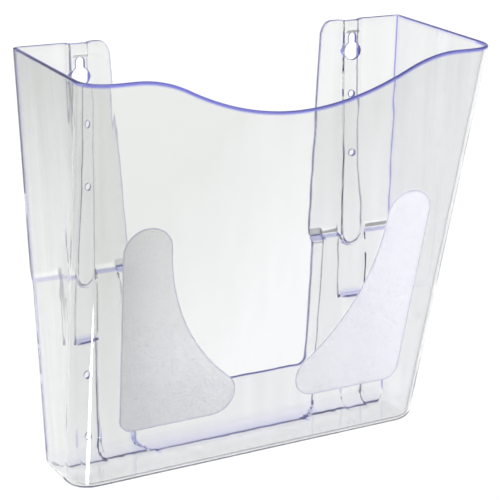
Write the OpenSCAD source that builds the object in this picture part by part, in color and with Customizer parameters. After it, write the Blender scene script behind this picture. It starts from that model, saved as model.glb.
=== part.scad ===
// Clear wall-mounted magazine rack: one open-topped pocket moulded in clear plastic,
// modelled as the zones that make it up. Millimetres, +Z up, the front faces -Y.
// Origin: on the wall plane, midway between the two hanging keyholes.

/* [Overall] */
// Outer width across the back at the top
rack_w = 240; // [200:1:320]
// Outer width across the bottom
base_w = 224; // [190:1:310]
// Height from the top back edge to the underside
rack_h = 237.6; // [180:0.2:320]
// Depth from the wall to the front at the top
top_d = 99; // [60:1:130]
// Depth from the wall to the front at the underside
base_d = 43.6; // [30:0.2:80]
// Wall thickness of the moulding
wall = 2.4; // [1.6:0.1:4]

/* [Edges] */
// Outside radius of the two upright front corners
corner_r = 15; // [6:0.5:25]
// Outside radius where the walls turn into the floor
floor_r = 6; // [3:0.5:10]
// Drop of the top rim from the wall to the front
rim_fall = 5; // [0:0.5:15]
// Depth of the dip in the middle of the front edge
dip = 24; // [0:1:50]
// Radius of the middle curve of the dip
dip_r = 125; // [80:1:250]
// Radius of the curves either side of the dip
shoulder_r = 55; // [30:1:120]

/* [Back strips] */
// Half width of the open back at the top
window_top = 66.8; // [50:0.1:90]
// Half width of the open back at its foot
window_foot = 53.5; // [30:0.1:80]
// Depth below the top edge of the foot of the open back
window_drop = 203.6; // [120:0.2:220]
// Rounding of the corners of the open back
window_r = 6; // [2:0.5:12]
// Depth below the top edge of the step that lets racks nest
step_drop = 127; // [60:1:160]
// How far the lower back stands forward of the wall plane
step_y = 2.8; // [1:0.1:6]
// Distance from the middle to the middle of each upper rib
rib_x = 84.5; // [60:0.1:100]
// Width of each upper rib
rib_w = 13; // [12:0.5:20]
// How far each upper rib stands forward of the strip
rib_y = 4; // [2:0.1:8]
// Depth below the top edge of the round foot of each upper rib
rib_drop = 134.5; // [80:0.5:170]
// Distance from the middle to the middle of each lower rib
low_rib_x = 87.2; // [60:0.1:100]
// Width of each lower rib and of the recess above it
low_rib_w = 16.2; // [12:0.2:24]
// Depth below the top edge of the top of each lower rib
low_rib_drop = 165; // [140:1:190]
// How far each lower rib stands forward of the strip
low_rib_y = 1.6; // [0.5:0.1:4]

/* [Holes] */
// Depth below the top edge of the wide part of each keyhole
key_drop = 18; // [12:0.5:40]
// Radius of the wide part of each keyhole
key_r = 5.4; // [3:0.1:5.8]
// Radius of the narrow slot of each keyhole
slot_r = 2.6; // [1.5:0.1:3.5]
// Rise from the wide part to the hanging seat
slot_rise = 8.2; // [5:0.1:12]
// Radius of the small screw holes
hole_r = 2.2; // [1.2:0.1:3]
// Depth below the top edge of the first upper screw hole
upper_hole_a = 43; // [34:0.5:60]
// Depth below the top edge of the second upper screw hole
upper_hole_b = 77.5; // [60:0.5:110]
// Depth below the top edge of the first lower screw hole
lower_hole_a = 185; // [175:0.5:205]
// Depth below the top edge of the second lower screw hole
lower_hole_b = 222; // [206:0.5:226]

/* [Low panel] */
// Half width of the low panel that joins the strips, at its foot
panel_half = 59.4; // [40:0.1:80]
// Distance from the middle to the outer edge of each leg of the low panel, at the leg's top
leg_top_x = 67.4; // [60:0.1:76]
// How far the low panel stands forward of the wall plane
panel_y = 8; // [4:0.5:14]

/* [Frosted patches] */
// Thickness of the frosted patches
patch_t = 0.4; // [0.2:0.1:1]
// Outward end of each patch's rounded top, from the middle
patch_top_x = 78.5; // [60:0.5:95]
// Depth of each patch's top circle below the rack's top edge
patch_top_drop = 97; // [70:1:140]
// Radius of each patch's rounded top
patch_top_r = 14; // [6:0.5:24]
// Depth below the top edge of each patch's lower edge
patch_foot_drop = 204.2; // [160:0.2:220]
// Radius of each patch's inner toe
toe_r = 13.7; // [6:0.1:24]
// Distance from the middle to the centre of the inner toe
toe_x = 33.3; // [20:0.1:60]
// Radius of each patch's outer heel
heel_r = 8.7; // [4:0.1:16]
// Distance from the middle to the centre of the outer heel
heel_x = 80.5; // [60:0.1:95]
// Radius of the hollow curve from the top to the toe
instep_r = 120; // [60:1:240]

/* [Hidden] */
// height of the rack's top edge over the origin, which is at the hanging seats
seat = key_drop - slot_rise;
base_z = seat - rack_h;
tray_z = base_z + floor_r;
floor_z = base_z + wall;
rim_z = seat - rim_fall;
half_top = rack_w / 2;
half_base = base_w / 2;
inner_r = corner_r - wall;
inner_floor_r = floor_r - wall;
// run of the front, per millimetre of fall, and its lean from upright
front_run = (top_d - base_d) / rack_h;
front_lean = atan(front_run);
side_run = (half_top - half_base) / rack_h;
side_lean = atan(side_run);
over = 20;
big = 400;
thin = 0.01;
mesh_fn = 48;
strip_front = -wall;
low_front = -wall - step_y;
rib_front = -wall - rib_y;
low_rib_front = low_front - low_rib_y;
step_z = seat - step_drop;
window_z = seat - window_drop;
step_soft = 3;
rib_side = 1.4;
clear_c = [0.86, 0.88, 0.97, 0.45];
frost_c = [0.9, 0.91, 0.96, 0.8];

// depth of the front's outer face behind which the pocket lies, at height z
function front_y(z) = -(base_d + front_run * (z - base_z));
// half width of the outer side faces at height z
function half_at(z) = half_base + side_run * (z - base_z);
// half width of the open back at height z
function window_at(z) = window_foot + (window_top - window_foot) * (z - window_z) / window_drop;
// points along an arc of radius r about c, from angle a to angle b
function arc(c, r, a, b, n) = [for (i = [0:n]) let (t = a + (b - a) * i / n) c + r * [cos(t), sin(t)]];

// ---------- the pocket as one outer and one inner form ----------

// disc with a rounded lower edge, centred on the axis, its underside at z = 0
module foot_disc(r, edge) {
    rotate_extrude($fn = mesh_fn)
    intersection() {
        union() {
            translate([0, edge]) square([r, 2 * edge]);
            square([r - edge, 2 * edge]);
            translate([r - edge, edge]) circle(r = edge, $fn = mesh_fn);
        }
        square([r, edge + 1]);
    }
}

// tapered tub from its underside up past the rim; inset is the wall to leave outside it
module tub(inset, r, edge) {
    top_z = seat + over;
    top_half = half_at(top_z) - inset;
    low_half = half_base - inset;
    hull() {
        for (s = [-1, 1]) {
            translate([s * (low_half - r), -(base_d - inset) + r, base_z + inset])
            foot_disc(r, edge);
            translate([s * (low_half - r), over, base_z + inset])
            foot_disc(r, edge);
            translate([s * (top_half - r), front_y(top_z) + inset + r, top_z - thin])
            cylinder(r = r, h = thin, $fn = mesh_fn);
            translate([s * (top_half - r), over, top_z - thin])
            cylinder(r = r, h = thin, $fn = mesh_fn);
        }
    }
}

// what lies behind the rack: the wall plane above the step, and the nesting gap below it
module behind() {
    side = [[0, seat + over], [0, step_z + step_soft], [-step_y / 2, step_z], [-step_y, step_z - step_soft],
        [-step_y, base_z - over], [big, base_z - over], [big, seat + over]];
    rotate([90, 0, 90]) linear_extrude(height = 2 * big, center = true) polygon(side);
}

// walls and floor of the pocket, open at the top and at the back
module pocket_walls() {
    difference() {
        tub(0, corner_r, floor_r);
        tub(wall, inner_r, inner_floor_r);
        behind();
    }
}

// upper limit of the side walls, falling from the wall to the front
module rim_limit() {
    slope = [[0, base_z - over], [0, seat], [-top_d, rim_z], [-big, rim_z], [-big, base_z - over]];
    rotate([90, 0, 90]) linear_extrude(height = 2 * big, center = true) polygon(slope);
}

// the front's top edge, from the middle outwards
function dip_join() = sqrt(2 * dip / (1 / dip_r + shoulder_r / (dip_r * dip_r)));
function dip_end() = dip_join() * (1 + shoulder_r / dip_r);
function rim_edge(x) = let (a = abs(x))
    a < dip_join() ? rim_z - dip + a * a / (2 * dip_r)
    : a < dip_end() ? rim_z - (dip_end() - a) * (dip_end() - a) / (2 * shoulder_r)
    : rim_z;

module wave_limit() {
    edge = [for (i = [-60:60]) [i * half_top / 60, rim_edge(i * half_top / 60)]];
    rotate([90, 0, 0]) linear_extrude(height = 2 * big, center = true)
    polygon(concat([[-half_top, base_z - over]], edge, [[half_top, base_z - over]]));
}

// upright zone between two distances from the middle, both leaning with the side walls
module between_x(near, far, s) {
    lift = seat + over;
    run = side_run * (lift - tray_z);
    zone = [[near, tray_z], [far, tray_z], [far + run, lift], [near + run, lift]];
    rotate([90, 0, 0]) linear_extrude(height = 2 * big, center = true)
    polygon([for (p = zone) [s * p[0], p[1]]]);
}

// zone in front of the line where each rounded corner meets its side wall
module ahead_of_side() {
    lift = seat + over;
    low_y = front_y(tray_z) + corner_r;
    zone = [[low_y, tray_z], [front_y(lift) + corner_r, lift], [-big, lift], [-big, tray_z]];
    rotate([90, 0, 90]) linear_extrude(height = 2 * big, center = true) polygon(zone);
}

corner_near = half_at(tray_z) - corner_r;

module front_panel() {
    color(clear_c)
    intersection() {
        pocket_walls();
        between_x(-corner_near - 2 * side_run * (seat + over - tray_z), corner_near, 1);
        between_x(-corner_near - 2 * side_run * (seat + over - tray_z), corner_near, -1);
        wave_limit();
    }
}

module front_corner(s) {
    color(clear_c)
    intersection() {
        pocket_walls();
        between_x(corner_near, big, s);
        ahead_of_side();
        wave_limit();
        rim_limit();
    }
}

module left_front_corner() {
    front_corner(-1);
}

module right_front_corner() {
    front_corner(1);
}

module side_wall(s) {
    color(clear_c)
    difference() {
        intersection() {
            pocket_walls();
            between_x(corner_near, big, s);
            rim_limit();
        }
        ahead_of_side();
    }
}

module left_side_wall() {
    side_wall(-1);
}

module right_side_wall() {
    side_wall(1);
}

module floor_tray() {
    color(clear_c)
    difference() {
        intersection() {
            pocket_walls();
            translate([-big, -big, base_z - over]) cube([2 * big, 2 * big, over + floor_r]);
        }
        translate([-(panel_half - wall), -panel_y + wall, base_z - over])
        cube([2 * (panel_half - wall), panel_y, 2 * over]);
    }
}

// ---------- back strips ----------

// sheet seen from the side: a face at y_up above the step and y_low below it
function step_line(y_up, y_low, z, soft) = [[y_up, z + soft], [(y_up + y_low) / 2, z], [y_low, z - soft]];

module sheet(y_up, y_low, step_z, soft, from_x, to_x) {
    path = concat([[y_up, seat]], step_line(y_up, y_low, step_z, soft), [[y_low, floor_z]]);
    back = concat([[y_low + wall, floor_z]],
        [for (p = step_line(y_low + wall, y_up + wall, step_z, -soft)) [p[0], p[1]]], [[y_up + wall, seat]]);
    translate([from_x, 0, 0]) rotate([90, 0, 90]) linear_extrude(height = to_x - from_x)
    polygon(concat(path, back));
}

// front view of the right-hand strip, between the open back, the low panel's leg and the side wall
module strip_outline() {
    polygon(concat(
        [[panel_half, floor_z]],
        arc([half_base - floor_r, tray_z], inner_floor_r, -90, 0, 12),
        [[half_at(seat) - wall, seat]],
        arc([window_top + window_r, seat - window_r], window_r, 90, 180, 8),
        [[window_at(step_z), step_z], [leg_top_x, step_z]]));
}

// front view of the upper rib: open at the top, round at the foot
module upper_rib_outline(inset) {
    half = rib_w / 2 - inset;
    foot = seat - rib_drop + inset;
    translate([rib_x, foot + half]) circle(r = half, $fn = mesh_fn);
    translate([rib_x - half, foot + half]) square([2 * half, rib_drop + over]);
}

module upper_holes() {
    for (drop = [upper_hole_a, upper_hole_b])
    translate([rib_x, 0, seat - drop])
    rotate([90, 0, 0]) cylinder(r = hole_r, h = over, $fn = mesh_fn);
    translate([rib_x, 0, seat - key_drop])
    rotate([90, 0, 0]) cylinder(r = key_r, h = over, $fn = mesh_fn);
    translate([rib_x, 0, 0])
    rotate([90, 0, 0]) cylinder(r = slot_r, h = over, $fn = mesh_fn);
    translate([rib_x - slot_r, -over, -slot_rise]) cube([2 * slot_r, over, slot_rise]);
}

module lower_holes() {
    for (drop = [lower_hole_a, lower_hole_b])
    translate([low_rib_x, 0, seat - drop])
    rotate([90, 0, 0]) cylinder(r = hole_r, h = over, $fn = mesh_fn);
}

module along_y(from_y, to_y) {
    translate([0, to_y, 0]) rotate([90, 0, 0]) linear_extrude(height = to_y - from_y) children();
}

// right-hand strip; the left one mirrors it
module strip_body() {
    low_x = low_rib_x - low_rib_w / 2;
    low_top = seat - low_rib_drop;
    difference() {
        intersection() {
            union() {
                difference() {
                    sheet(strip_front, low_front, step_z, step_soft, window_foot, half_top);
                    // flat recess below the upper rib
                    translate([low_x, -over, low_top]) cube([low_rib_w, 2 * over, rib_drop]);
                }
                // floor and rim of the recess
                translate([low_x, -wall, low_top - wall]) cube([low_rib_w, wall, rib_drop]);
                for (x = [low_x - wall, low_x + low_rib_w])
                translate([x, low_front, low_top - wall])
                cube([wall, step_y + wall, low_rib_drop - step_drop]);
                translate([low_x, low_front, low_top - wall]) cube([low_rib_w, step_y + wall, wall]);
                // lower rib
                translate([low_x, low_rib_front, floor_z]) cube([low_rib_w, wall, low_top - floor_z]);
                for (x = [low_x - wall / 2, low_x + low_rib_w - wall / 2])
                translate([x, low_rib_front, floor_z]) cube([wall, low_rib_y + wall, low_top - floor_z]);
                translate([low_x, low_rib_front, low_top - wall])
                cube([low_rib_w, low_rib_y + wall, wall]);
                // upper rib
                along_y(rib_front, 0) upper_rib_outline(0);
            }
            along_y(-over, over) strip_outline();
        }
        along_y(rib_front + wall, over) upper_rib_outline(rib_side);
        upper_holes();
        lower_holes();
    }
}

module right_back_strip() {
    color(clear_c) strip_body();
}

module left_back_strip() {
    color(clear_c) mirror([1, 0, 0]) strip_body();
}

// front view of the low panel and its two legs, which frame the foot of the open back
module frame_outline() {
    right = concat(
        arc([window_foot - window_r, window_z + window_r], window_r, 270, 360, 8),
        [[window_at(step_z), step_z], [leg_top_x, step_z], [panel_half, floor_z]]);
    polygon(concat(right, [for (i = [len(right) - 1:-1:0]) [-right[i][0], right[i][1]]]));
}

// front view of the upright edge on the outside of each leg
module leg_edge_outline() {
    foot = [[panel_half - wall, floor_z], [panel_half, floor_z]];
    polygon(concat(foot, [[leg_top_x, step_z], [leg_top_x - wall, step_z]]));
}

// the frame with its outside edges, and the ledge that turns back from each leg's top
module panel_body() {
    head_w = leg_top_x - window_at(step_z);
    along_y(-panel_y, -panel_y + wall) frame_outline();
    for (s = [0, 1])
    mirror([s, 0, 0]) {
        along_y(-panel_y, -step_y) leg_edge_outline();
        intersection() {
            translate([leg_top_x - head_w, -panel_y, step_z - wall]) cube([head_w, panel_y, wall]);
            along_y(-over, over) frame_outline();
        }
    }
}

module low_back_panel() {
    color(clear_c)
    difference() {
        panel_body();
        behind();
    }
}

// ---------- frosted patches ----------

// outline of the right-hand patch on the front's own slope, its foot at height zero
module patch_outline() {
    stretch = 1 / cos(front_lean);
    top_c = [patch_top_x, (patch_foot_drop - patch_top_drop) * stretch];
    toe_c = [toe_x, toe_r];
    heel_c = [heel_x, heel_r];
    reach_top = instep_r + patch_top_r;
    reach_toe = instep_r + toe_r;
    gap = norm(top_c - toe_c);
    along = (reach_toe * reach_toe - reach_top * reach_top + gap * gap) / (2 * gap);
    off = sqrt(reach_toe * reach_toe - along * along);
    dir = (top_c - toe_c) / gap;
    mid = toe_c + along * dir + off * [-dir[1], dir[0]];
    to_top = atan2(top_c[1] - mid[1], top_c[0] - mid[0]);
    to_toe = atan2(toe_c[1] - mid[1], toe_c[0] - mid[0]);
    side = top_c - heel_c;
    lean = atan2(side[1], side[0]) - 90 + asin((patch_top_r - heel_r) / norm(side));
    polygon(concat(
        arc(toe_c, toe_r, to_toe + 180, 270, 16),
        arc(heel_c, heel_r, 270, 360 + lean, 12),
        arc(top_c, patch_top_r, lean, to_top + 180, 20),
        arc(mid, instep_r, to_top, to_toe, 16)));
}

module patch(s) {
    foot_z = seat - patch_foot_drop;
    color(frost_c)
    translate([0, front_y(foot_z), foot_z])
    rotate([90 + front_lean, 0, 0])
    linear_extrude(height = patch_t)
    mirror([s < 0 ? 1 : 0, 0]) patch_outline();
}

module left_frosted_patch() {
    patch(-1);
}

module right_frosted_patch() {
    patch(1);
}

front_panel();
left_front_corner();
right_front_corner();
left_side_wall();
right_side_wall();
floor_tray();
left_back_strip();
right_back_strip();
low_back_panel();
left_frosted_patch();
right_frosted_patch();
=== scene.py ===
"""Clear wall-mounted magazine rack: the looks of the moulding and its two frosted patches.

Shapes are worked out in millimetres in the part's own frame (front faces -Y, +Z up, the wall at
y = 0, x = 0 in the middle, z = 0 at the hanging seats) and are written to the meshes in metres.
"""
import math

import bmesh
import bpy
import numpy as np
from mathutils import Matrix, Vector
from mathutils.geometry import delaunay_2d_cdt


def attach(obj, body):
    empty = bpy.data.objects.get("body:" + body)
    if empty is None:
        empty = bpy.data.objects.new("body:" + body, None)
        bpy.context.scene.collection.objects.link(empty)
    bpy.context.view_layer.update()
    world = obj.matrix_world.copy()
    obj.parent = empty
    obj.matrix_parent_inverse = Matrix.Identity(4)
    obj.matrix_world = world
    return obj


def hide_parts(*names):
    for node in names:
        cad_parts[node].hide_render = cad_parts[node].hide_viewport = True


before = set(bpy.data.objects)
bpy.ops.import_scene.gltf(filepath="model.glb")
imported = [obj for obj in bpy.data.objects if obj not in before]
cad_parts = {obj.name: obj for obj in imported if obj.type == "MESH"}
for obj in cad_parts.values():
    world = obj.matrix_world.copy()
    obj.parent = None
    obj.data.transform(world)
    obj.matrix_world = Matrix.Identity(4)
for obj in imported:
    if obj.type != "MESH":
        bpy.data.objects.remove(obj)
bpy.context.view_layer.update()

# ---------------------------------------------------------------- sizes, in millimetres

SEAT = 9.8                      # the rack's top back edge over the hanging seats
TALL = 237.6
BASE = SEAT - TALL              # the underside
WALL = 2.4
HALF_BASE = 112.0               # half width at the underside
SIDE_RUN = 8.0 / TALL           # how far a side leans out for each millimetre up
BASE_D = 43.6                   # depth at the underside
FRONT_RUN = (99.0 - BASE_D) / TALL
CORNER = 15.0                   # outer radius of the upright front corners
RIM_FALL, RIM_D = 5.0, 97.8     # the sides' top edges fall this much over this depth
RIM = SEAT - RIM_FALL           # top of the front at its ends
DIP, DIP_R, SHOULDER_R = 24.0, 125.0, 55.0   # depth of the front's dip and the radii of its arcs
WINDOW_TOP, WINDOW_FOOT, WINDOW_R = 66.8, 53.5, 6.0   # the open back's half widths and corners
FOOT_Z = SEAT - 203.6           # foot of the open back
STEP_Z, STEP_Y = SEAT - 127.0, 2.8   # height and depth of the nesting step
STEP_IN, STEP_OUT = 1.1, 6.2    # half heights of the step on the pocket side and the wall side
STEP_LIFT = 1.6                 # how much higher the step lies on the walls' outer face
STEP_RISE = 1.45                # and on the back's, for each millimetre that outlines are drawn in
RIB_X, RIB_HALF, RIB_Y, RIB_FOOT = 84.5, 6.5, 4.0, SEAT - 134.5   # the upper rib
RIB_FLARE, FLARE_TOP, FLARE_RUN = 1.7, -62.0, 46.0   # how it widens, from where and over what height
LOW_X, LOW_HALF, LOW_TOP, LOW_Y = 87.2, 8.1, SEAT - 165.0, 1.6    # the lower rib
PANEL_HALF, LEG_TOP, PANEL_Y = 59.4, 67.4, 8.0   # the low panel, its legs' tops and how far forward it is
LEG_EASE = 1.1                  # how much wider a leg's sloping side is than the others
LEG_TURN = 11.0                 # how far the legs are drawn in along the turn into the floor
HOLES = [(RIB_X, SEAT - 43.0), (RIB_X, SEAT - 77.5), (LOW_X, SEAT - 185.0), (LOW_X, SEAT - 222.0)]
HOLE_R = 2.2
KEY_Z, KEY_R, SLOT_R = SEAT - 18.0, 5.4, 2.6   # the keyhole's big end and the radius of its slot
PAD_HALF, PAD_Y, PAD_EASE = 4.4, 0.25, 0.4     # shallow pad sunk round each keyhole
PAD_TOP, PAD_FOOT = SEAT - 7.0, SEAT - 29.0
DRAFT = 0.7                     # half the width of a raised part's sloping side
REAR_IN = 1.1                   # how far outlines are drawn in on the wall side
LIP = 0.9                       # how far a rounded edge stands out of its sheet
LEAST_R = 0.08                  # smallest radius that a corner shrinks to
# LEDGE_TOP and LEDGE_RUN place the painted highlight on the back's slopes across, near the foot
LEDGE_TOP, LEDGE_RUN = -203.0, 8.0   # where upright slopes start to catch light, and over what height
GRID, FINE_GRID = 3.4, 0.7      # spacing of the points that fill the back, and of those at the rib's foot
CLEAR = 0.45                    # least distance from a crease to a hole's edge
WELD = 2e-4                     # points that round to the same multiple of this are one
SHARP = math.radians(38)        # edges that bend more than this stay sharp
PATCH_FOOT = SEAT - 204.2       # lower edge of the frosted patches

# ---------------------------------------------------------------- shape functions


def smooth(t):
    """0 below 0, 1 above 1, and three t squared less two t cubed between."""
    t = np.clip(t, 0.0, 1.0)
    return t * t * (3.0 - 2.0 * t)


def half_at(z):
    """Half width of the outer sides: the half width at the base plus the side's run times the height."""
    return HALF_BASE + SIDE_RUN * (z - BASE)


def front_at(z):
    """Y of the front's outer face: minus the base depth less the front's run times the height."""
    return -(BASE_D + FRONT_RUN * (z - BASE))


def window_at(z):
    """Half width of the open back, in proportion between its foot and its top."""
    return WINDOW_FOOT + (WINDOW_TOP - WINDOW_FOOT) * (z - FOOT_Z) / (SEAT - FOOT_Z)


def leg_at(z):
    """Distance from the middle to the outer edge of the low panel's leg, in proportion to height."""
    return PANEL_HALF + (LEG_TOP - PANEL_HALF) * (z - BASE) / (STEP_Z - BASE)


def rim_at(x):
    """Top of the front: a big arc in the middle, a smaller arc the other way beside it, then level."""
    a = np.abs(x)
    join = math.sqrt(2.0 * DIP / (1.0 / DIP_R + SHOULDER_R / DIP_R ** 2))
    end = join * (1.0 + SHOULDER_R / DIP_R)
    low = RIM - DIP + a * a / (2.0 * DIP_R)
    high = RIM - np.square(end - a) / (2.0 * SHOULDER_R)
    return np.where(a < join, low, np.where(a < end, high, RIM))


def stepped(z, soft):
    """How far the back stands forward for the nesting step: none above it, all of it below."""
    return STEP_Y * smooth((STEP_Z + soft - z) / (2.0 * soft))


def rib_mid(z):
    """Middle of the upper rib, whose outer side moves out towards its foot."""
    return RIB_X + RIB_FLARE * smooth((FLARE_TOP - z) / FLARE_RUN)


def rib_half(z):
    """Half width of the upper rib."""
    return RIB_HALF + RIB_FLARE * smooth((FLARE_TOP - z) / FLARE_RUN)


def raised(depth):
    """Share of a raised part's height at a signed depth inside its outline, over its sloping side."""
    return smooth((depth + DRAFT) / (2.0 * DRAFT))


def back_face(x, z, inset):
    """Y of the back's sheet over its own plane: the step, then the recess, the low rib, the upper rib
    and the low panel laid over it, each blended in by its depth inside its outline. inset draws the
    outlines in for the rear face, so that the sheet keeps its thickness round each raised part."""
    x = np.abs(x)
    soft = STEP_OUT if inset > 0 else STEP_IN
    step = stepped(z - STEP_RISE * inset, soft)
    in_low = LOW_HALF - np.abs(x - LOW_X)
    recess = raised(np.minimum(in_low + inset, z - LOW_TOP + inset)) * (z < STEP_Z + 12.0)
    y = -step * (1.0 - recess)
    y = y - LOW_Y * raised(np.minimum(in_low - inset, LOW_TOP - z - inset))
    bend = RIB_FOOT + RIB_HALF + RIB_FLARE
    in_rib = rib_half(z) - inset - np.hypot(x - rib_mid(z), np.minimum(z - bend, 0.0))
    rib = raised(in_rib)
    y = y * (1.0 - rib) - RIB_Y * rib
    if inset == 0:
        in_pad = np.minimum(np.minimum(PAD_HALF - np.abs(x - RIB_X), PAD_TOP - z), z - PAD_FOOT)
        y = y + PAD_Y * smooth((in_pad + PAD_EASE) / (2.0 * PAD_EASE))
    in_leg = leg_at(z) - x - inset
    leg = raised(in_leg / LEG_EASE) * smooth((STEP_Z + soft - z - 0.4 * inset) / (2.0 * soft))
    return y * (1.0 - leg) - (PANEL_Y - WALL) * leg


def inner_back(x, z):
    """Y of the back's face towards the pocket: the sheet's own shape, a wall in front of its plane."""
    return back_face(x, z, 0.0) - WALL


def outer_back(x, z):
    """Y of the back's face towards the wall."""
    return back_face(x, z, REAR_IN)


# ---------------------------------------------------------------- the plan of the pocket

SIDE_N, ARC_N, FRONT_N = 14, 14, 56


def plan_columns():
    """Where each column of the walls sits: which stretch (0 back corner, 1 side, 2 front corner,
    3 front) and how far along it, from 0 to 1."""
    parts = [(0, np.linspace(0, 1, 10)[:-1]), (1, np.linspace(0, 1, SIDE_N)[:-1]),
             (2, np.linspace(0, 1, ARC_N)[:-1]), (3, np.linspace(0, 1, FRONT_N))]
    kind = np.concatenate([np.full(len(t), k) for k, t in parts])
    return kind, np.concatenate([t for _, t in parts])


def wall_points(kind, t, z, back_y, inset, back_r, front_r, shift):
    """Plan points of the half loop at height z, drawn in by inset from the outer faces and by shift
    more along the floor's turn. Corners are quarter circles whose radius shrinks with shift; the side
    and the front are straight between them."""
    a = half_at(z) - inset - shift
    y_back = back_y - shift
    y_front = front_at(z) + inset + shift
    rb = np.maximum(back_r - shift, LEAST_R)
    rf = np.maximum(front_r - shift, LEAST_R)
    turn = 0.5 * math.pi * t
    cx, cy = a - rb, y_back - rb
    fx, fy = a - rf, y_front + rf
    x = np.select([kind == 0, kind == 1, kind == 2], [cx + rb * np.sin(turn), a, fx + rf * np.cos(turn)],
                  fx * (1.0 - t))
    y = np.select([kind == 0, kind == 1, kind == 2],
                  [cy + rb * np.cos(turn), cy + (fy - cy) * t, fy - rf * np.sin(turn)], y_front)
    return x, y


STEP_ROWS = np.array([-5.5, -4.2, -3.2, -2.4, -1.8, -1.4, -1.1, -0.8, -0.5, -0.2,
                      0.2, 0.5, 0.8, 1.1, 1.4, 1.8, 2.4, 3.2, 4.2, 5.5])


def rows():
    """Share of the way up of each row of the walls: even, with more rows round the nesting step."""
    even = np.linspace(0.0, 1.0, 60)
    mid = (STEP_Z - BASE) / (SEAT - BASE)
    near = mid + STEP_ROWS / (SEAT - BASE)
    even = even[(even < near[0] - 0.006) | (even > near[-1] + 0.006)]
    rim = 1.0 - np.array([0.6, 1.2, 1.8, 2.5, 3.3]) / (SEAT - BASE)
    return np.sort(np.concatenate([even, near, rim]))


ROWS = rows()
TURN_ANGLES = np.linspace(0.0, 0.5 * math.pi, 7)[1:, None]
INNER = dict(inset=WALL, back_r=0.9, front_r=CORNER - WALL, turn=3.8, back_turn=8.6, floor=BASE + WALL,
             soft=STEP_IN)
OUTER = dict(inset=0.0, back_r=2.2, front_r=CORNER, turn=6.0, back_turn=6.4, floor=BASE, soft=STEP_OUT)


def turn_radius(kind, t, side):
    """Radius of the turn into the floor: one on the back, another on the sides and front, changing
    from one to the other over the back corner."""
    back = side["back_turn"]
    return np.where(kind == 0, back + (side["turn"] - back) * smooth(t), side["turn"])


def wall_grid(side):
    """The pocket's walls as a grid of rows by columns: each row runs from the back corner round the
    side and the front corner to the middle of the front, and heights share out the way from the
    turn into the floor up to the rim."""
    kind, t = plan_columns()
    radius = turn_radius(kind, t, side)
    low = side["floor"] + radius
    x, y = wall_points(kind, t, np.full(len(t), RIM), -side["inset"], side["inset"], side["back_r"],
                       side["front_r"], 0.0)
    top = np.where(kind < 3, SEAT - RIM_FALL * np.clip(-y / RIM_D, 0, 1), rim_at(x))
    top = np.where(kind == 0, SEAT, top) - LIP
    z = low[None, :] + ROWS[:, None] * (top - low)[None, :]
    back = -side["inset"] - stepped(z if side is INNER else z - STEP_LIFT, side["soft"])
    x, y = wall_points(kind[None, :], t[None, :], z, back, side["inset"], side["back_r"],
                       side["front_r"], 0.0)
    return np.stack([x, y, z], -1)


def turn_grid(side):
    """The turn from the walls into the floor: at each angle the plan is drawn in by the radius times
    one less the cosine, and lowered by the radius times the sine."""
    kind, t = plan_columns()
    radius = turn_radius(kind, t, side)[None, :]
    low = side["floor"] + radius
    z = low - radius * np.sin(TURN_ANGLES)
    shift = radius * (1.0 - np.cos(TURN_ANGLES))
    back = -side["inset"] - STEP_Y
    x, y = wall_points(kind[None, :], t[None, :], np.broadcast_to(low, z.shape), back, side["inset"],
                       side["back_r"], side["front_r"], shift)
    return np.stack([x, y, z], -1)


# ---------------------------------------------------------------- the flat sheet of the back

def arc(cx, cz, r, a, b, n):
    """Points along a circle of radius r from angle a to angle b, in degrees, both ends included."""
    angle = np.radians(np.linspace(a, b, n))
    return np.stack([cx + r * np.cos(angle), cz + r * np.sin(angle)], -1)


def keyhole(n=40):
    """Outline of a keyhole: most of a circle, then up the slot's sides and round its top."""
    open_a = math.degrees(math.asin(SLOT_R / KEY_R))
    big = arc(RIB_X, KEY_Z, KEY_R, 90 + open_a, 450 - open_a, n)
    top = arc(RIB_X, 0.0, SLOT_R, 0, 180, 15)
    return np.concatenate([big, top])


def hole_loops():
    """Outlines of the holes in one back strip."""
    rounds = [arc(x, z, HOLE_R, 0, 360, 25)[:-1] for x, z in HOLES]
    return [keyhole()] + rounds


BESIDE = np.linspace(-2.1, 2.1, 13)   # close points on either side of a sloping side


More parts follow.
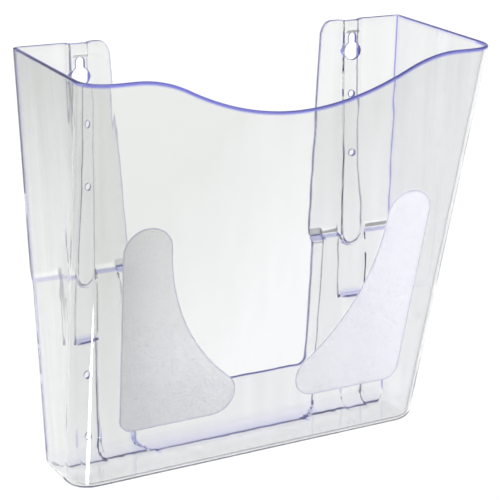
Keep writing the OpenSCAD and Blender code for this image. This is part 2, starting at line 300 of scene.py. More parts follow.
def edge_loop(side):
    """Outline of the right half of the back's sheet, from the middle of its foot out along the foot,
    up the back corner, in along the top, down the open back and back to the middle. Returns the
    points and the index where each stretch starts."""
    low = side["floor"] + side["back_turn"]
    z = low + ROWS * (SEAT - LIP - low)
    xb = half_at(z) - side["inset"] - side["back_r"]
    leg = leg_at(low)
    foot = np.concatenate([np.linspace(0, 100, 41), np.linspace(leg - LEG_TURN - 3.0, leg + 1.5, 34),
                           LOW_X - LOW_HALF + BESIDE, LOW_X + LOW_HALF + BESIDE])
    foot = thin_out(foot, 0.3)
    foot = np.append(foot[foot < 100], np.linspace(100, xb[0], 5)[:-1])
    top_z = SEAT - LIP
    start = WINDOW_TOP + WINDOW_R
    top = np.concatenate([np.linspace(start, 100, 12), RIB_X - RIB_HALF + BESIDE, RIB_X + RIB_HALF + BESIDE])
    top = thin_out(top, 0.3)
    top = np.append(top[top < 100], np.linspace(100, xb[-1], 6)[:-1])
    edge_z = np.concatenate([np.linspace(top_z - WINDOW_R, STEP_Z + 8, 30), STEP_Z + STEP_ROWS[::-1],
                             np.linspace(STEP_Z - 8, FOOT_Z + WINDOW_R, 20)])
    edge = np.stack([window_at(edge_z), edge_z], -1)
    runs = [
        np.stack([foot, np.full(len(foot), low)], -1),
        np.stack([xb, z], -1),
        np.stack([top[::-1], np.full(len(top), top_z)], -1),
        arc(start, top_z - WINDOW_R, WINDOW_R, 90, 180, 9)[1:-1],
        edge,
        arc(edge[-1, 0] - WINDOW_R, FOOT_Z + WINDOW_R, WINDOW_R, 0, -90, 9)[1:],
        np.stack([np.linspace(edge[-1, 0] - WINDOW_R, 0, 16)[1:], np.full(15, FOOT_Z)], -1),
        np.stack([np.zeros(7), np.linspace(FOOT_Z, low, 9)[1:-1]], -1),
    ]
    starts = np.cumsum([0] + [len(r) for r in runs])
    return np.concatenate(runs), starts


def thin_out(values, least):
    """The sorted values, with only the first kept in each stretch as long as least."""
    values = np.unique(np.round(values, 4))
    cell = np.floor(values / least)
    return values[np.unique(cell, return_index=True)[1]]


def crease_lines(inset, low):
    """Lines along which the sheet's height bends, as lists of points: five beside every sloping
    side, down to the turn into the floor at the height low."""
    lines = []
    bend = RIB_FOOT + RIB_HALF + RIB_FLARE
    for o in DRAFT * np.array([-1.0, -0.5, 0.0, 0.5, 1.0]):
        up = np.concatenate([np.linspace(SEAT - LIP - 1.2, -16.0, 52), np.linspace(-18.0, bend, 38)])
        wide = rib_half(up) - inset - o
        lines.append(np.concatenate([np.stack([rib_mid(up) - wide, up], -1),
                                     arc(rib_mid(bend), bend, rib_half(bend) - inset - o, 180, 360, 31)[1:-1],
                                     np.stack([rib_mid(up) + wide, up], -1)[::-1]]))
        wide = LOW_HALF + inset - o
        z = np.concatenate([STEP_Z + STEP_ROWS[::-1], np.linspace(STEP_Z - 7.0, LOW_TOP - inset + o, 14)])
        lines.append(np.concatenate([np.stack([np.full(len(z), LOW_X - wide), z], -1),
                                     np.stack([np.linspace(LOW_X - wide, LOW_X + wide, 15)[1:-1],
                                               np.full(13, z[-1])], -1),
                                     np.stack([np.full(len(z), LOW_X + wide), z[::-1]], -1)]))
        z = np.linspace(LOW_TOP - inset - 1.8, low + 0.6, 22)
        w = LOW_HALF - inset - o
        for s in (-1, 1):
            lines.append(np.stack([np.full(22, LOW_X + s * w), z], -1))
        z = np.concatenate([STEP_Z + STEP_ROWS[::-1], np.linspace(STEP_Z - 8.0, low + 0.6, 34)])
        lines.append(np.stack([leg_at(z) - inset - LEG_EASE * o, z], -1))
    for z in STEP_Z + STEP_ROWS:
        across = np.linspace(window_at(z) + 0.6, half_at(z) - WALL - 2.2, 40)
        lines.append(np.stack([across, np.full(40, z)], -1))
    if inset == 0:
        for o in (-PAD_EASE, 0.0, PAD_EASE):
            w, top, foot = PAD_HALF - o, PAD_TOP - o, PAD_FOOT + o
            across, along = np.linspace(-w, w, 10), np.linspace(foot, top, 18)
            for x in (-w, w):
                lines.append(np.stack([np.full(18, RIB_X + x), along], -1))
            for z in (foot, top):
                lines.append(np.stack([RIB_X + across, np.full(10, z)], -1))
    return lines


def ledges(x, z):
    """Share of painted highlight on the back's inner face, from 0 to 1: its slope up and down, and near
    the foot its slope across as well, less a quarter."""
    near = 0.35
    rise = np.abs(back_face(x, z + near, 0.0) - back_face(x, z - near, 0.0)) / (2.0 * near)
    run = np.abs(back_face(x + near, z, 0.0) - back_face(x - near, z, 0.0)) / (2.0 * near)
    return np.clip(np.maximum(rise, run * smooth((LEDGE_TOP - z) / LEDGE_RUN)) - 0.25, 0.0, 1.0)


def inside(points, loop):
    """True where a point lies inside the closed loop, by counting the edges that a ray crosses."""
    a, b = loop, np.roll(loop, -1, 0)
    x, z = points[:, 0][:, None], points[:, 1][:, None]
    spans = (a[:, 1] > z) != (b[:, 1] > z)
    rise = np.where(b[:, 1] == a[:, 1], 1e-12, b[:, 1] - a[:, 1])
    cross = a[:, 0] + (z - a[:, 1]) / rise * (b[:, 0] - a[:, 0])
    return (np.sum(spans & (x < cross), 1) % 2) == 1


def away(points, marks, gap):
    """True where a point is at least gap from every mark."""
    keep = np.ones(len(points), bool)
    for part in np.array_split(np.arange(len(points)), max(1, len(points) // 400)):
        far = points[part][:, None] - marks[None]
        keep[part] = np.hypot(far[..., 0], far[..., 1]).min(1) > gap
    return keep


def clear_runs(lines, holes):
    """The lines, cut wherever they come too close to a hole's outline or run inside it."""
    marks = np.concatenate(holes)
    runs = []
    for line in lines:
        free = away(line, marks, CLEAR)
        for hole in holes:
            free &= ~inside(line, hole)
        cuts = np.nonzero(np.diff(np.concatenate([[False], free, [False]]).astype(int)))[0].reshape(-1, 2)
        runs += [line[a:b] for a, b in cuts if b - a > 1]
    return runs


def back_sheet(side, height):
    """The back's sheet on one face: its outline and holes are kept, creases and an even grid fill it,
    a Delaunay triangulation joins them in the (x, z) plane, and height gives each point its y.
    Returns the points, the triangles, the outline's indices with the starts of its stretches, and
    each hole's indices."""
    loop, starts = edge_loop(side)
    holes = hole_loops()
    fixed = [loop] + holes
    rings = [arc(x, z, HOLE_R + 1.2, 0, 360, 25)[:-1] for x, z in HOLES]
    ring_of = np.concatenate(rings)
    inset = 0.0 if side is INNER else REAR_IN
    creases = clear_runs(crease_lines(inset, side["floor"] + side["back_turn"]), holes)
    grid_x, grid_z = np.meshgrid(np.arange(2.0, 116.0, GRID), np.arange(BASE + 5.0, SEAT, GRID))
    cloud = np.stack([grid_x.ravel(), grid_z.ravel()], -1)
    fine_x, fine_z = np.meshgrid(np.arange(RIB_X - 10, RIB_X + 13, FINE_GRID),
                                 np.arange(RIB_FOOT - 3, STEP_Z + 5, FINE_GRID))
    fine = np.stack([fine_x.ravel(), fine_z.ravel()], -1)
    bounds = np.concatenate(fixed)
    lines = np.concatenate(creases)
    fine = fine[away(fine, np.concatenate([bounds, lines]), CLEAR)]
    cloud = cloud[away(cloud, np.concatenate([bounds, lines, ring_of, fine]), 1.5)]
    points, edges, count = [], [], 0
    for part in fixed:
        n = np.arange(len(part))
        points.append(part)
        edges.append(np.stack([count + n, count + np.roll(n, -1)], -1))
        count += len(part)
    for part in creases:
        n = np.arange(len(part) - 1)
        points.append(part)
        edges.append(np.stack([count + n, count + n + 1], -1))
        count += len(part)
    points += [ring_of, fine, cloud]
    points, edges = np.concatenate(points), np.concatenate(edges)
    out = delaunay_2d_cdt(points.tolist(), edges.tolist(), [], 0, 1e-5)
    flat = np.array([tuple(v) for v in out[0]])
    tris = np.array(out[2], dtype=int)
    first = np.array([o[0] if len(o) else -1 for o in out[3]])
    middle = flat[tris].mean(1)
    keep = inside(middle, loop)
    # a triangle with its corners in line stays along the top and the foot and goes at the middle
    one, two = (flat[tris[:, k]] - flat[tris[:, 0]] for k in (1, 2))
    thin = np.abs(one[:, 0] * two[:, 1] - one[:, 1] * two[:, 0]) < 1e-3
    ends = (middle[:, 1] > SEAT - LIP - 1e-3) | (middle[:, 1] < loop[0, 1] + 1e-3)
    keep = (keep | (thin & ends)) & ~(thin & (middle[:, 0] < 1e-3))
    for hole in holes:
        keep &= ~inside(middle, hole)
    tris = tris[keep]
    place = np.full(len(points), -1)
    place[first[first >= 0]] = np.nonzero(first >= 0)[0]
    for k, owners in enumerate(out[3]):
        place[owners] = k
    marks = np.cumsum([0] + [len(f) for f in fixed])
    ids = [place[marks[k]:marks[k + 1]] for k in range(len(fixed))]
    xyz = np.stack([flat[:, 0], height(flat[:, 0], flat[:, 1]), flat[:, 1]], -1)
    return xyz, tris, ids[0], starts, ids[1:]


# ---------------------------------------------------------------- joining faces into one mesh

class Shell:
    """Collects points and faces of one closed shape, with a share of painted edge glow and tint for each
    point.
    """

    def __init__(self):
        self.points, self.faces, self.rims, self.count = [], [], [], 0

    def add(self, points, rim=0.0):
        """Adds points and returns their indices, in the points' own shape; rim is their share of painted edge
        glow and tint.
        """
        shape = points.shape[:-1]
        flat = points.reshape(-1, 3)
        self.points.append(flat)
        self.rims.append(np.broadcast_to(rim, shape).reshape(-1).astype(float))
        ids = self.count + np.arange(len(flat)).reshape(shape)
        self.count += len(flat)
        return ids

    def strip(self, a, b):
        """Joins two equally long rows of indices with quads."""
        self.faces.append(np.stack([a[:-1], a[1:], b[1:], b[:-1]], -1))

    def grid(self, ids):
        """Joins a grid of indices with quads."""
        quads = np.stack([ids[:-1, :-1], ids[:-1, 1:], ids[1:, 1:], ids[1:, :-1]], -1)
        self.faces.append(quads.reshape(-1, 4))

    def triangles(self, tris):
        """Adds triangles as quads whose last corner repeats the third."""
        self.faces.append(np.concatenate([tris, tris[:, 2:3]], 1))

    def edge(self, one, other, closed=False, lip=LIP, n=7, rim=1.0):
        """Joins two rows across the sheet's thickness with a rounded edge: the points go across by
        the share one less the cosine over two, and stand out by lip times the sine, square to both
        the row and the way across."""
        pts = np.concatenate(self.points)
        a, b = pts[one], pts[other]
        mid = 0.5 * (a + b)
        if closed:
            along = np.roll(mid, -1, 0) - np.roll(mid, 1, 0)
        else:
            along = np.gradient(mid, axis=0)
        out = np.cross(along, b - a)
        out /= np.maximum(np.linalg.norm(out, axis=1, keepdims=True), 1e-9)
        angle = np.linspace(0, math.pi, n + 2)[1:-1, None, None]
        share = 0.5 * (1.0 - np.cos(angle))
        made = a[None] * (1 - share) + b[None] * share + out[None] * lip * np.sin(angle)
        on_middle = (np.abs(a[:, 0]) < 1e-6) & (np.abs(b[:, 0]) < 1e-6)
        made[:, on_middle, 0] = 0.0
        ids = self.add(made, rim)
        across = np.concatenate([one[None], ids, other[None]])
        if closed:
            across = np.concatenate([across, across[:, :1]], 1)
        self.grid(across)


def wall_glow(side):
    """Share of painted edge glow on the walls' points: a line up the back corner, a sine across it, that
    fades along the side, and the rows next to the rim, which catch less on the side walls."""
    kind, t = plan_columns()
    corner = np.select([kind == 0, kind == 1],
                       [0.8 * np.sin(math.pi * np.clip(t + 0.1, 0, 1)), 0.05 * np.exp(-9.0 * t)], 0.0)
    along = np.select([kind > 1, kind == 1], [1.0, 0.0 if side is OUTER else 0.4], 0.0)
    reach = np.interp(np.arange(len(ROWS)), len(ROWS) - np.array([3.4, 2.2, 1.0]), [0.0, 0.6, 1.0])
    return np.maximum(corner[None, :], along[None, :] * reach[:, None])


def foot_turn(side, foot, end_x, height):
    """The turn from the back's sheet into the floor, under the row of points at its foot: at each
    angle the row is drawn forward by the radius times one less the cosine and lowered by the radius
    times the sine, and the legs' edges move in by their own draw times one less the cosine. Returns
    the points and their shares of painted glow, which grow with the angle and with the slope of a leg's edge."""
    x, z = foot[None, :, 0], foot[None, :, 2]
    bent = 1.0 - np.cos(TURN_ANGLES)
    shift = side["back_turn"] * bent
    pull = shift + np.maximum(side["back_r"] - shift, LEAST_R) - side["back_r"]
    share = np.clip((x - 90.0) / (end_x - 90.0), 0.0, 1.0)
    leg = leg_at(foot[0, 2])
    # only the points beside the leg's outer edge are drawn in
    near = smooth((x - leg + 24.0) / 9.0) * smooth((leg + 14.0 - x) / 5.0)
    y = height(x + LEG_TURN * bent * near, z) - shift
    points = np.stack([x - pull * share, y, z - side["back_turn"] * np.sin(TURN_ANGLES)], -1)
    steep = np.abs(np.gradient(y, axis=1) / np.maximum(np.gradient(foot[:, 0]), 0.2)[None, :])
    # painted glow along the turn into the floor, stronger inside the legs and on their sloping edges
    band = np.array([0.08, 0.16, 0.26, 0.36, 0.42, 0.0])[:, None] * np.where(x < leg, 1.0, 0.5)
    painted_foot_glow = np.maximum(band, np.clip(steep - 0.2, 0.0, 1.0) * (x < leg + 4.0))
    return points, painted_foot_glow * (side is INNER)


def add_face(shell, side, height):
    """Adds one face of the half moulding: the back's sheet, the walls, which start at the sheet's
    outer edge, and the turn into the floor. Returns the indices along its rim, its holes' and its
    floor's."""
    xyz, tris, loop, starts, holes = back_sheet(side, height)
    # the inner back's ledges get painted highlight through their rim share
    back = shell.add(xyz, 0.6 * ledges(xyz[:, 0], xyz[:, 2]) * (side is INNER))
    shell.triangles(back[tris])
    corner = back[loop[starts[1]:starts[2]]]
    walls = shell.add(wall_grid(side)[:, 1:], wall_glow(side)[:, 1:])
    walls = np.concatenate([corner[:, None], walls], 1)
    shell.grid(walls)
    foot = loop[starts[0]:starts[1]]
    under, painted_foot_glow = foot_turn(side, xyz[foot], xyz[loop[starts[1]], 0], height)
    turn = turn_grid(side)
    painted_foot_glow = np.concatenate([painted_foot_glow, np.zeros(turn.shape[:2])], 1)
    low = shell.add(np.concatenate([under, turn], 1), painted_foot_glow)
    shell.grid(np.concatenate([np.append(back[foot], walls[0])[None], low], 0))
    rim = np.concatenate([back[loop[starts[2]:starts[7]]][::-1], walls[-1]])
    return rim, [back[hole] for hole in holes], low[-1]


def build_moulding():
    """The half of the moulding at x above 0: both faces, and rounded edges that join them along the
    rim and round the holes. Returns it with the indices round its inner and its outer floor."""
    shell = Shell()
    rim_in, holes_in, floor_in = add_face(shell, INNER, inner_back)
    rim_out, holes_out, floor_out = add_face(shell, OUTER, outer_back)
    where = np.concatenate(shell.points)[rim_in]
    on_back = where[:, 1] > -9.0
    on_side = (where[:, 0] > 95.0) & ~on_back & (where[:, 1] > front_at(where[:, 2]) + 8.0)
    # painted edge glow and tint along the rim: weaker on the back above its foot, and weaker across the
    # middle of the edge, most on the side walls
    glow = np.where(on_back, np.where(where[:, 2] < FOOT_Z + 8.0, 0.85, 0.42), 1.0)
    across = 0.5 * (1.0 - np.cos(np.linspace(0, math.pi, 9)[1:-1, None]))
    shell.edge(rim_in, rim_out, rim=glow * (1.0 - np.where(on_side, 0.9, 0.2) * across))
    for one, other in zip(holes_in, holes_out):
        shell.edge(one, other, closed=True, lip=0.35, n=3)
    return shell, floor_in, floor_out


def floor_fill(shell, ids):
    """Fills the flat floor inside its half loop, which the indices go round: an even grid of points
    and the loop are joined by a Delaunay triangulation in the (x, y) plane."""
    pts = np.concatenate(shell.points)[ids]
    closed = np.concatenate([pts[:, :2], [[0.0, pts[-1, 1] * 0.5 + pts[0, 1] * 0.5]]])
    n = np.arange(len(closed))
    edges = np.stack([n, np.roll(n, -1)], -1)
    grid_x, grid_y = np.meshgrid(np.arange(3.0, HALF_BASE, 4.0), np.arange(-44.0, -4.0, 4.0))
    cloud = np.stack([grid_x.ravel(), grid_y.ravel()], -1)
    cloud = cloud[inside(cloud, closed)]
    cloud = cloud[away(cloud, closed, 2.0)]
    points = np.concatenate([closed, cloud])
    out = delaunay_2d_cdt(points.tolist(), edges.tolist(), [], 0, 1e-5)
    flat = np.array([tuple(v) for v in out[0]])
    tris = np.array(out[2], dtype=int)
    tris = tris[inside(flat[tris].mean(1), closed)]
    owner = np.array([min(o) if len(o) else -1 for o in out[3]])
    made = shell.add(np.concatenate([flat, np.full((len(flat), 1), pts[0, 2])], 1))
    here = (owner >= 0) & (owner < len(ids))
    made = np.where(here, ids[np.clip(owner, 0, len(ids) - 1)], made)
    shell.triangles(made[tris])


def to_mesh(name, points, faces, rims):
    """Welds points that coincide, drops faces that collapse, writes the mesh in metres, turns its
    normals outwards and shades it smooth up to an angle."""
    key = np.round(points / WELD).astype(np.int64)
    _, first, back = np.unique(key, axis=0, return_index=True, return_inverse=True)
    back = back.ravel()
    faces = back[faces]
    same = (faces == np.roll(faces, 1, 1)).sum(1)
    faces = faces[same < 2]
    uses = np.unique(faces)
    remap = np.full(len(first), -1)
    remap[uses] = np.arange(len(uses))
    faces = remap[faces]
    verts = points[first][uses] / 1000.0
    distinct = faces != np.roll(faces, 1, 1)
    sizes = distinct.sum(1)
    mesh = bpy.data.meshes.new(name)
    mesh.vertices.add(len(verts))
    mesh.vertices.foreach_set("co", verts.astype(np.float32).ravel())
    loops = faces[distinct]
    mesh.loops.add(len(loops))
    mesh.loops.foreach_set("vertex_index", loops.astype(np.int32))
    mesh.polygons.add(len(faces))
    mesh.polygons.foreach_set("loop_start", np.concatenate([[0], np.cumsum(sizes)[:-1]]).astype(np.int32))
    mesh.update(calc_edges=True)
    mesh.validate()
    # the rim attribute holds each point's share of painted edge glow and tint
    rim = mesh.attributes.new("rim", "FLOAT", "POINT")
    rim.data.foreach_set("value", rims[first][uses].astype(np.float32))
    bm = bmesh.new()
    bm.from_mesh(mesh)
    bmesh.ops.recalc_face_normals(bm, faces=bm.faces)
    bm.to_mesh(mesh)
    bm.free()
    mesh.shade_smooth()
    mesh.set_sharp_from_angle(angle=SHARP)
    obj = bpy.data.objects.new(name, mesh)
    bpy.context.scene.collection.objects.link(obj)
    return obj


def moulding():
    """The moulding's object: the half moulding with its floors, and the same mirrored."""
    shell, floor_in, floor_out = build_moulding()
    floor_fill(shell, floor_in)
    floor_fill(shell, floor_out)
    points = np.concatenate(shell.points)
    faces = np.concatenate(shell.faces)
    rims = np.concatenate(shell.rims)
    points[:, 0] = np.where(np.abs(points[:, 0]) < 1e-3, 0.0, points[:, 0])
    both = np.concatenate([points, points * [-1, 1, 1]])
    faces = np.concatenate([faces, faces[:, ::-1] + len(points)])
    return to_mesh("clear_moulding", both, faces, np.concatenate([rims, rims]))


# ---------------------------------------------------------------- frosted patches

def patch_outline():
    """Outline of the right-hand patch in the front's own plane, as x and the distance up the slope
    from the patch's foot: a toe, a heel and a round top joined by straight lines, and one hollow arc
    that touches the top and the toe."""
    lean = 1.0 / math.cos(math.atan(FRONT_RUN))
    top, top_r = np.array([78.5, 107.2 * lean]), 14.0
    toe, toe_r = np.array([33.3, 13.7]), 13.7
    heel, heel_r = np.array([80.5, 8.7]), 8.7
    hollow = 120.0
    gap = np.linalg.norm(top - toe)
    far_top, far_toe = hollow + top_r, hollow + toe_r
    along = (far_toe ** 2 - far_top ** 2 + gap ** 2) / (2 * gap)
    off = math.sqrt(far_toe ** 2 - along ** 2)
    way = (top - toe) / gap
    mid = toe + along * way + off * np.array([-way[1], way[0]])
    to_top = math.degrees(math.atan2(*(top - mid)[::-1]))
    to_toe = math.degrees(math.atan2(*(toe - mid)[::-1]))
    side = top - heel
    turn = math.degrees(math.atan2(side[1], side[0])) - 90 + math.degrees(
        math.asin((top_r - heel_r) / np.linalg.norm(side)))
    parts = [arc(*toe, toe_r, to_toe + 180, 270, 24),
             np.stack([np.linspace(toe[0], heel[0], 20)[1:-1], np.zeros(18)], -1),
             arc(*heel, heel_r, 270, 360 + turn, 18)]
    start = parts[-1][-1]
    stop = arc(*top, top_r, turn, turn, 1)[0]
    parts.append(start + (stop - start) * np.linspace(0, 1, 30)[1:-1, None])
    parts.append(arc(*top, top_r, turn, to_top + 180, 30))
    parts.append(arc(*mid, hollow, to_top, to_toe, 34)[1:-1])
    return np.concatenate(parts)


def frosted_patch(name, s):
    """A patch on the side whose sign of x is s: rings shrink from its outline to a point inside it in
    even shares, the outermost rings rise into a low rounded bead, and the face lies on the front's
    slope. The inner rings again, flat, close it behind. The left patch leans out a little more, by a
    share of the distance up the slope."""
    outline = patch_outline()
    if s < 0:
        outline[:, 0] += 0.022 * (outline[:, 1] - 45.0)
    centre = np.array([76.0, 26.0])
    face_y, rear_y = 0.25, 0.03   # how far the face and the rear stand off the front
    lean = math.atan(FRONT_RUN)
    normal = np.array([0.0, -math.cos(lean), -math.sin(lean)])
    up = np.array([0.0, -math.sin(lean), math.cos(lean)])
    tangent = np.roll(outline, -1, 0) - np.roll(outline, 1, 0)
    tangent /= np.linalg.norm(tangent, axis=1, keepdims=True)
    into = np.stack([-tangent[:, 1], tangent[:, 0]], -1)
    # bead: steps in from the outline, with the height of each
    steps = np.array([0.0, 0.0, 0.15, 0.35, 0.6, 0.85, 1.05, 1.3])
    heights = np.array([rear_y, 0.26, 0.38, 0.42, 0.40, 0.32, 0.27, face_y])
    rings = outline[None] + into[None] * steps[:, None, None]
    shares = np.linspace(1.0, 0.04, 26)[1:, None, None]
    inner = centre + (rings[-1][None] - centre) * shares
    flat = np.concatenate([rings, inner])
    lift = np.concatenate([heights, np.full(len(inner), face_y)])
    foot = np.array([0.0, front_at(PATCH_FOOT), PATCH_FOOT])

    def place(plane, height):
        """Points in space: the foot, plus x, plus the way up the slope, plus the height off it."""
        height = np.broadcast_to(np.asarray(height, float), plane.shape[:-1])
        at = foot + plane[..., :1] * [1.0, 0.0, 0.0] + plane[..., 1:] * up + height[..., None] * normal
        return at * [s, 1.0, 1.0]

    shell = Shell()
    # share of painted violet edge tint, highest on the bead's middle rings
    on_bead = np.clip(1.3 - 0.8 * np.abs(np.arange(len(flat)) - 3), 0, 1)[:, None]
    face = shell.add(place(flat, lift[:, None]), on_bead)
    rear = shell.add(place(flat[len(steps) - 1:], rear_y))
    shell.grid(np.concatenate([face, face[:, :1]], 1))
    shell.grid(np.concatenate([rear, rear[:, :1]], 1))
    shell.strip(np.append(face[0], face[0, :1]), np.append(rear[0], rear[0, :1]))
    for ring, height in ((face[-1], face_y), (rear[-1], rear_y)):
        tip = np.full(len(ring), shell.add(place(centre[None], height))[0])
        shell.faces.append(np.stack([ring, np.roll(ring, -1), tip, tip], -1))
    return to_mesh(name, np.concatenate(shell.points), np.concatenate(shell.faces),
                   np.concatenate(shell.rims))


# ---------------------------------------------------------------- shader maths

class Value:
    """A shader socket that takes part in sums: an expression on values adds its Math nodes."""

    def __init__(self, finish, socket):
        self.finish, self.socket = finish, socket

    def _math(self, kind, *others):
        """A Math node of one kind, with this value first and the others after it."""
        ins = {k: o for k, o in enumerate((self,) + others)}
        return self.finish.node("ShaderNodeMath", {"operation": kind}, ins)

    def __add__(self, o):
        return self._math("ADD", o)

    def __sub__(self, o):
        return self._math("SUBTRACT", o)

    def __mul__(self, o):
        return self._math("MULTIPLY", o)

    def __rsub__(self, o):
        return (self * -1.0) + o

    def __pow__(self, o):
        return self._math("POWER", o)

    __radd__, __rmul__ = __add__, __mul__

    def clamp(self):
        """The value held between 0 and 1."""
        made = self._math("ADD", 0.0)
        made.socket.node.use_clamp = True
        return made


class Finish:
    """One material and the nodes in it."""

    def __init__(self, name):
        self.material = bpy.data.materials.new(name)
        self.material.use_nodes = True
        self.tree = self.material.node_tree
        self.tree.nodes.clear()

    def node(self, kind, settings=None, sockets=None, out=0):
        """Adds a node: its settings first, then the values or links of its sockets. Returns the value
        at its output."""
        made = self.tree.nodes.new(kind)
        for key, value in (settings or {}).items():
            setattr(made, key, value)
        for key, value in (sockets or {}).items():
            socket = made.inputs[key]
            if isinstance(value, Value):
                self.tree.links.new(value.socket, socket)
            else:
                socket.default_value = value
        return Value(self, made.outputs[out])

    def noise(self, place, scale, detail, rough):
        """Smooth noise of a given scale, from 0 to 1."""
        sockets = {"Vector": place, "Scale": scale, "Detail": detail, "Roughness": rough}
        return self.node("ShaderNodeTexNoise", {}, sockets)

    def blend(self, share, one, other):
        """A colour that goes from one to the other as the share goes from 0 to 1."""
        return self.node("ShaderNodeMix", {"data_type": "RGBA"}, {0: share, 6: one, 7: other}, 2)

    def stretch(self, place, by):
        """A place with each of its coordinates multiplied."""
        return self.node("ShaderNodeVectorMath", {"operation": "MULTIPLY"}, {0: place, 1: by})

    def coordinate(self, place, k):
        """One coordinate of a place: 0 across, 1 deep, 2 up."""
        return self.node("ShaderNodeSeparateXYZ", {}, {0: place}, k)

    def show(self, shader, volume=None):
        """Sends a shader, and a volume where there is one, to the output."""
        ends = {"Surface": shader}
        if volume is not None:
            ends["Volume"] = volume
        made = self.tree.nodes.new("ShaderNodeOutputMaterial")
        for key, value in ends.items():
            self.tree.links.new(value.socket, made.inputs[key])


# the second colour is a milky clouding, laid on partly at random and partly as painted shade
CLEAN, HAZE_AND_SHADE = (0.985, 0.988, 0.99, 1), (0.80, 0.813, 0.785, 1)
# violet tint and glow painted on the edges and ledges: painted light, not the plastic's own colour
EDGE_PAINTED_TINT, EDGE_PAINTED_GLOW = (0.035, 0.035, 0.32, 1), (0.075, 0.075, 0.25, 1)
DARK = (0.0, 0.0, 0.0, 1)


def clear_plastic():
    """Clear moulded plastic: flow waves and fine scuffs in the gloss, a milky clouding that changes slowly
    over the walls and in upright streaks, partly at random and partly painted shade towards -X and the top,
    a painted violet tint and glow at its edges and on each ledge, and a painted violet glow in its volume."""
    f = Finish("clear_plastic")
    place = f.node("ShaderNodeTexCoord", {}, {}, "Object")
    rim = f.node("ShaderNodeAttribute", {"attribute_name": "rim"}, {}, "Fac")
    tall = f.stretch(place, (1.0, 1.0, 0.16))
    flow = f.noise(tall, 46.0, 2.0, 0.5)
    cloud = f.noise(tall, 17.0, 3.0, 0.55)
    streaks = f.noise(f.stretch(place, (1.0, 1.0, 0.05)), 130.0, 2.0, 0.5)
    scuff = f.noise(place, 420.0, 3.0, 0.6)
    x, y, z = (f.coordinate(place, k) for k in range(3))
    uneven = (cloud - 0.5) * 0.7 + (streaks - 0.5) * 0.8
    # painted shade: the clouding also grows towards -X and towards the top, on the walls and more steeply on
    # the front
    haze_and_shade = x * -1.5 + z * 1.2 + 0.44 + uneven
    front_haze_and_shade = (x * -7.0 + z * 6.0 + 0.87 + uneven * 0.6).clamp() * 0.75
    behind_front = y + z * FRONT_RUN + (BASE_D - BASE * FRONT_RUN) / 1000.0
    on_front = (1.3 - behind_front * 80.0).clamp()
    clouded_and_shaded = f.blend((haze_and_shade + on_front * (front_haze_and_shade - haze_and_shade)).clamp(), CLEAN, HAZE_AND_SHADE)
    # painted light: the rim attribute tints the edges violet and makes them give off violet light
    tint = f.blend(rim.clamp(), clouded_and_shaded, EDGE_PAINTED_TINT)
    glow = f.blend((rim * (0.75 + scuff * 0.5)).clamp(), DARK, EDGE_PAINTED_GLOW)
    rough = 0.012 + flow * 0.02 + (scuff ** 3.0) * 0.05
    bump = f.node("ShaderNodeBump", {}, {"Strength": 0.2, "Distance": 0.0012, "Height": flow})
    surface = f.node("ShaderNodeBsdfPrincipled", {},
                     {"Base Color": tint, "Roughness": rough, "IOR": 1.57, "Transmission Weight": 1.0,
                      "Normal": bump, "Emission Color": glow, "Emission Strength": 1.0})
    soak = f.node("ShaderNodeVolumeAbsorption", {}, {"Color": (0.45, 0.47, 0.50, 1), "Density": 16.0})
    # painted glow: the whole volume of the plastic gives off violet light, though it is no lamp
    painted_volume_glow = f.node("ShaderNodeEmission", {}, {"Color": (0.42, 0.43, 0.84, 1), "Strength": 3.4})
    f.show(surface, f.node("ShaderNodeAddShader", {}, {0: soak, 1: painted_volume_glow}))
    return f.material


FROST_LOW, FROST_HIGH = (0.88, 0.885, 0.90, 1), (1.0, 1.0, 1.0, 1)
# violet edge tint painted on the bead
BEAD_PAINTED_TINT = (0.22, 0.22, 0.62, 1)
# dim and bright colours of the patches' painted glow
FROST_PAINTED_DIM, FROST_PAINTED_GLOW = (0.012, 0.012, 0.012, 1), (0.17, 0.17, 0.19, 1)


def frosted_plastic():
    """Frosted plastic: a fine even grain that scatters what is behind it, a painted glow that follows the
    grain, grows towards +X and changes with height, and a smooth bead round it with a painted violet tint."""
    f = Finish("frosted_plastic")
    place = f.node("ShaderNodeTexCoord", {}, {}, "Object")
    rim = f.node("ShaderNodeAttribute", {"attribute_name": "rim"}, {}, "Fac")
    grain = f.noise(place, 900.0, 2.0, 0.6)
    cloud = f.noise(place, 30.0, 3.0, 0.6)
    speck = ((grain - 0.5) * 3.2 + 0.5).clamp()
    x, z = (f.coordinate(place, k) for k in (0, 2))
    tint = f.blend((rim * 0.8).clamp(), f.blend(speck, FROST_LOW, FROST_HIGH), BEAD_PAINTED_TINT)
    # painted light: the patches' glow follows the grain and cloud, and is made stronger towards +X and
    # changes with height
    light = speck * 0.5 + cloud * 0.3 + 0.11 + x * 7.6 + z * (x * 20.0 + 0.5)
    glow = f.blend((light - rim).clamp(), FROST_PAINTED_DIM, FROST_PAINTED_GLOW)
    rough = 0.33 + cloud * 0.12 - rim * 0.2
    bump = f.node("ShaderNodeBump", {}, {"Strength": 0.35, "Distance": 0.0002, "Height": grain})
    f.show(f.node("ShaderNodeBsdfPrincipled", {},
                  {"Base Color": tint, "Roughness": rough, "IOR": 1.5, "Transmission Weight": 1.0,
                   "Normal": bump, "Emission Color": glow, "Emission Strength": 1.0}))
    return f.material


# ---------------------------------------------------------------- the pieces

rack = moulding()
rack.data.materials.append(clear_plastic())
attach(rack, "root")
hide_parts("front_panel", "left_front_corner", "right_front_corner", "left_side_wall",
            "right_side_wall", "floor_tray", "left_back_strip", "right_back_strip", "low_back_panel")

frost = frosted_plastic()
for patch_name, patch_side in (("left_frosted_patch", -1.0), ("right_frosted_patch", 1.0)):
    piece = frosted_patch(patch_name + "_face", patch_side)
    piece.data.materials.append(frost)
    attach(piece, "root")
    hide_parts(patch_name)

# ---------------------------------------------------------------- floor, light and camera


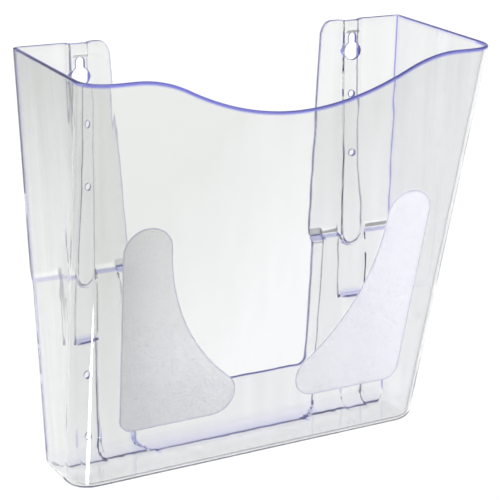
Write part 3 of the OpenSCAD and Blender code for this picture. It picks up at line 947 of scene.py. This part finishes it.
def plane(name, size, at, material):
    """A level square of the given side at a height, for the floor and, stood up, the backdrop."""
    h = size / 2
    mesh = bpy.data.meshes.new(name)
    mesh.from_pydata([(-h, -h, at), (h, -h, at), (h, h, at), (-h, h, at)], [], [(0, 1, 2, 3)])
    obj = bpy.data.objects.new(name, mesh)
    mesh.materials.append(material)
    bpy.context.scene.collection.objects.link(obj)
    return obj


def floor_paint():
    """Plain matt white, a little uneven in its roughness."""
    f = Finish("floor_paint")
    place = f.node("ShaderNodeTexCoord", {}, {}, "Object")
    rough = 0.9 + f.noise(place, 3.0, 1.0, 0.5) * 0.05
    f.show(f.node("ShaderNodeBsdfPrincipled", {}, {"Base Color": (0.9, 0.9, 0.9, 1), "Roughness": rough}))
    return f.material


def soft_light(name, at, aim, wide, high, power):
    """A white area light at a place, turned to face another."""
    data = bpy.data.lights.new(name, "AREA")
    data.shape, data.size, data.size_y, data.energy = "RECTANGLE", wide, high, power
    obj = bpy.data.objects.new(name, data)
    way = Vector(aim) - Vector(at)
    obj.matrix_world = Matrix.Translation(at) @ way.to_track_quat("-Z", "Y").to_matrix().to_4x4()
    bpy.context.scene.collection.objects.link(obj)
    return obj


paint = floor_paint()
plane("floor", 40.0, -1.5, paint)
wall = plane("backdrop", 40.0, 0.0, paint)
wall.location, wall.rotation_euler = (0.0, 15.5, 10.0), (math.radians(90), 0.0, 0.0)
sweep = soft_light("back_sweep", (4.0, 7.4, 1.4), (4.0, 7.4, -1.5), 12.4, 14.0, 463.0)
sweep.data.spread = math.radians(50)
soft_light("wall_wash", (3.5, 11.5, 3.0), (3.5, 15.5, 2.0), 9.0, 2.0, 160.0)
streak = soft_light("left_strip", (-0.487, -0.663, -1.17), (-0.1, -0.07, -0.3), 0.22, 0.56, 4.6)
streak.data.shape = "ELLIPSE"

world = bpy.data.worlds.new("studio")
bpy.context.scene.world = world
world.use_nodes = True
world.node_tree.nodes["Background"].inputs["Color"].default_value = (0.98, 0.99, 1.0, 1)
world.node_tree.nodes["Background"].inputs["Strength"].default_value = 0.32

YAW, PITCH, ROLL = math.radians(28.49), math.radians(16.61), math.radians(-0.13)
EYE = Vector((-0.40462, -0.78289, 0.14541))
FOCAL = 3.198   # focal length, in widths of the sensor
ahead = Vector((math.sin(YAW) * math.cos(PITCH), math.cos(YAW) * math.cos(PITCH), -math.sin(PITCH)))
right = Vector((math.cos(YAW), -math.sin(YAW), 0.0))
top = right.cross(ahead)
right_r = right * math.cos(ROLL) + top * math.sin(ROLL)
top_r = top * math.cos(ROLL) - right * math.sin(ROLL)
camera = bpy.data.objects.new("camera", bpy.data.cameras.new("camera"))
camera.data.lens = FOCAL * camera.data.sensor_width
camera.data.clip_start, camera.data.clip_end = 0.05, 60.0
camera.matrix_world = Matrix.Translation(EYE) @ Matrix((right_r, top_r, -ahead)).transposed().to_4x4()
bpy.context.scene.collection.objects.link(camera)
bpy.context.scene.camera = camera

look = bpy.context.scene
look.view_settings.view_transform = "Standard"
look.cycles.max_bounces = 24
look.cycles.transmission_bounces = 24
look.cycles.glossy_bounces = 8
look.cycles.transparent_max_bounces = 24
